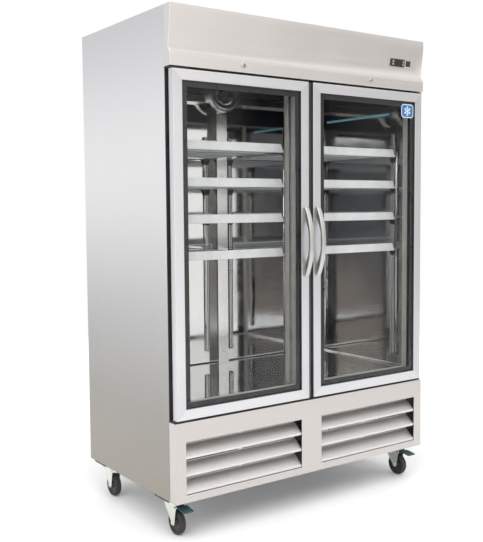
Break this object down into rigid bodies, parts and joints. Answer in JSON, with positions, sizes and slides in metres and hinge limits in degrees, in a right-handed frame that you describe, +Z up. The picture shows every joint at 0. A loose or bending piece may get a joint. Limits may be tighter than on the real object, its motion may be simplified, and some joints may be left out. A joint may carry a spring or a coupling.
{
  "type": "glass door merchandiser",
  "caption": "Upright stainless reach-in cooler on swivel casters, with hinged glass doors, bow handles, wire shelves, louvred machine compartment and leaning header panel.",
  "frame": {"origin": "on the floor, below the middle of the whole object with its handles", "axes": "-Y is the front with the doors, +X is the right-hand side seen from the front, +Z is up"},
  "size_m": [1.37, 0.82, 2.071],
  "materials": {
    "brushed_stainless": "satin",
    "polished_stainless": "polished",
    "bracket_steel": "satin",
    "insulation": "matte",
    "galvanised_steel": "satin",
    "black_steel": "satin",
    "coil_aluminium": "satin",
    "fan_plastic": "satin",
    "door_aluminium": "satin",
    "handle_metal": "satin",
    "door_glass": "gloss",
    "gasket_rubber": "matte",
    "shelf_coating": "satin",
    "lock_zinc": "polished",
    "control_plastic": "satin",
    "caster_zinc": "satin",
    "caster_tyre": "matte",
    "pedal_paint": "satin"
  },
  "bodies": {
    "cabinet": {"outer_shell": "brushed_stainless", "back_panel": "brushed_stainless", "header_canopy": "brushed_stainless", "lower_front_panel": "brushed_stainless", "louvre_left": "brushed_stainless", "louvre_right": "brushed_stainless", "inner_liner": "polished_stainless", "center_mullion": "polished_stainless", "evaporator_cover": "polished_stainless", "rear_duct": "polished_stainless", "pilaster_front_center": "polished_stainless", "pilaster_front_left": "polished_stainless", "pilaster_front_right": "polished_stainless", "pilaster_rear_left": "polished_stainless", "pilaster_rear_right": "polished_stainless", "pilaster_rear_center_left": "polished_stainless", "pilaster_rear_center_right": "polished_stainless", "hinge_bracket_top_left": "bracket_steel", "hinge_bracket_top_right": "bracket_steel", "hinge_bracket_bottom_left": "bracket_steel", "hinge_bracket_bottom_right": "bracket_steel", "insulation_foam": "insulation", "base_pan": "galvanised_steel", "caster_channel_front": "black_steel", "caster_channel_rear": "black_steel", "compressor": "black_steel", "evaporator_coil": "coil_aluminium", "condenser_coil": "coil_aluminium", "controller": "control_plastic"},
    "door_left": {"door_frame_left": "door_aluminium", "door_glass_left": "door_glass", "door_gasket_left": "gasket_rubber", "door_handle_left": "handle_metal"},
    "door_right": {"door_frame_right": "door_aluminium", "door_glass_right": "door_glass", "door_gasket_right": "gasket_rubber", "door_handle_right": "handle_metal"},
    "lock_left": {"lock_left": "lock_zinc"},
    "lock_right": {"lock_right": "lock_zinc"},
    "rocker_switch": {"rocker_switch": "control_plastic"},
    "evaporator_fan": {"evaporator_fan": "fan_plastic"},
    "condenser_fan": {"condenser_fan": "fan_plastic"},
    "caster_fork_front_left": {"caster_fork_front_left": "caster_zinc"},
    "caster_wheel_front_left": {"caster_wheel_front_left": "caster_tyre"},
    "brake_pedal_left": {"brake_pedal_left": "pedal_paint"},
    "caster_fork_front_right": {"caster_fork_front_right": "caster_zinc"},
    "caster_wheel_front_right": {"caster_wheel_front_right": "caster_tyre"},
    "brake_pedal_right": {"brake_pedal_right": "pedal_paint"},
    "caster_fork_rear_left": {"caster_fork_rear_left": "caster_zinc"},
    "caster_wheel_rear_left": {"caster_wheel_rear_left": "caster_tyre"},
    "caster_fork_rear_right": {"caster_fork_rear_right": "caster_zinc"},
    "caster_wheel_rear_right": {"caster_wheel_rear_right": "caster_tyre"},
    "shelf_left_1": {"shelf_left_1": "shelf_coating"},
    "shelf_left_2": {"shelf_left_2": "shelf_coating"},
    "shelf_left_3": {"shelf_left_3": "shelf_coating"},
    "shelf_left_4": {"shelf_left_4": "shelf_coating"},
    "shelf_right_1": {"shelf_right_1": "shelf_coating"},
    "shelf_right_2": {"shelf_right_2": "shelf_coating"},
    "shelf_right_3": {"shelf_right_3": "shelf_coating"},
    "shelf_right_4": {"shelf_right_4": "shelf_coating"}
  },
  "joints": [
    {"name": "door_left_hinge", "type": "hinge", "parent": "cabinet", "child": "door_left", "pos_m": [-0.661, -0.346, 1.157], "axis": [0, 0, -1], "range_deg": [0, 120]},
    {"name": "door_right_hinge", "type": "hinge", "parent": "cabinet", "child": "door_right", "pos_m": [0.661, -0.346, 1.157], "axis": [0, 0, 1], "range_deg": [0, 120]},
    {"name": "lock_left_turn", "type": "hinge", "parent": "cabinet", "child": "lock_left", "pos_m": [-0.348, -0.362, 1.866], "axis": [0, 1, 0], "range_deg": [0, 90]},
    {"name": "lock_right_turn", "type": "hinge", "parent": "cabinet", "child": "lock_right", "pos_m": [0.348, -0.362, 1.866], "axis": [0, 1, 0], "range_deg": [0, 90]},
    {"name": "rocker_switch_rock", "type": "hinge", "parent": "cabinet", "child": "rocker_switch", "pos_m": [0.592, -0.34876, 1.9625], "axis": [1, 0, 0], "range_deg": [0, 14]},
    {"name": "evaporator_fan_spin", "type": "hinge", "parent": "cabinet", "child": "evaporator_fan", "pos_m": [0, 0.2925, 1.857], "axis": [0, 1, 0], "continuous": true},
    {"name": "condenser_fan_spin", "type": "hinge", "parent": "cabinet", "child": "condenser_fan", "pos_m": [0.34, -0.147, 0.29], "axis": [0, 1, 0], "continuous": true},
    {"name": "caster_swivel_front_left", "type": "hinge", "parent": "cabinet", "child": "caster_fork_front_left", "pos_m": [-0.626, -0.23, 0.14], "axis": [0, 0, 1], "continuous": true},
    {"name": "caster_roll_front_left", "type": "hinge", "parent": "caster_fork_front_left", "child": "caster_wheel_front_left", "pos_m": [-0.626, -0.267, 0.05], "axis": [1, 0, 0], "continuous": true},
    {"name": "brake_pedal_left_press", "type": "hinge", "parent": "caster_fork_front_left", "child": "brake_pedal_left", "pos_m": [-0.626, -0.287, 0.118], "axis": [1, 0, 0], "range_deg": [0, 12]},
    {"name": "caster_swivel_front_right", "type": "hinge", "parent": "cabinet", "child": "caster_fork_front_right", "pos_m": [0.626, -0.23, 0.14], "axis": [0, 0, 1], "continuous": true},
    {"name": "caster_roll_front_right", "type": "hinge", "parent": "caster_fork_front_right", "child": "caster_wheel_front_right", "pos_m": [0.626, -0.267, 0.05], "axis": [1, 0, 0], "continuous": true},
    {"name": "brake_pedal_right_press", "type": "hinge", "parent": "caster_fork_front_right", "child": "brake_pedal_right", "pos_m": [0.626, -0.287, 0.118], "axis": [1, 0, 0], "range_deg": [0, 12]},
    {"name": "caster_swivel_rear_left", "type": "hinge", "parent": "cabinet", "child": "caster_fork_rear_left", "pos_m": [-0.626, 0.33, 0.14], "axis": [0, 0, 1], "continuous": true},
    {"name": "caster_roll_rear_left", "type": "hinge", "parent": "caster_fork_rear_left", "child": "caster_wheel_rear_left", "pos_m": [-0.626, 0.293, 0.05], "axis": [1, 0, 0], "continuous": true},
    {"name": "caster_swivel_rear_right", "type": "hinge", "parent": "cabinet", "child": "caster_fork_rear_right", "pos_m": [0.626, 0.33, 0.14], "axis": [0, 0, 1], "continuous": true},
    {"name": "caster_roll_rear_right", "type": "hinge", "parent": "caster_fork_rear_right", "child": "caster_wheel_rear_right", "pos_m": [0.626, 0.293, 0.05], "axis": [1, 0, 0], "continuous": true},
    {"name": "shelf_left_1_lift", "type": "slide", "parent": "cabinet", "child": "shelf_left_1", "axis": [0, 0, 1], "range_m": [0, 0.03]},
    {"name": "shelf_left_2_lift", "type": "slide", "parent": "cabinet", "child": "shelf_left_2", "axis": [0, 0, 1], "range_m": [0, 0.03]},
    {"name": "shelf_left_3_lift", "type": "slide", "parent": "cabinet", "child": "shelf_left_3", "axis": [0, 0, 1], "range_m": [0, 0.03]},
    {"name": "shelf_left_4_lift", "type": "slide", "parent": "cabinet", "child": "shelf_left_4", "axis": [0, 0, 1], "range_m": [0, 0.03]},
    {"name": "shelf_right_1_lift", "type": "slide", "parent": "cabinet", "child": "shelf_right_1", "axis": [0, 0, 1], "range_m": [0, 0.03]},
    {"name": "shelf_right_2_lift", "type": "slide", "parent": "cabinet", "child": "shelf_right_2", "axis": [0, 0, 1], "range_m": [0, 0.03]},
    {"name": "shelf_right_3_lift", "type": "slide", "parent": "cabinet", "child": "shelf_right_3", "axis": [0, 0, 1], "range_m": [0, 0.03]},
    {"name": "shelf_right_4_lift", "type": "slide", "parent": "cabinet", "child": "shelf_right_4", "axis": [0, 0, 1], "range_m": [0, 0.03]}
  ]
}
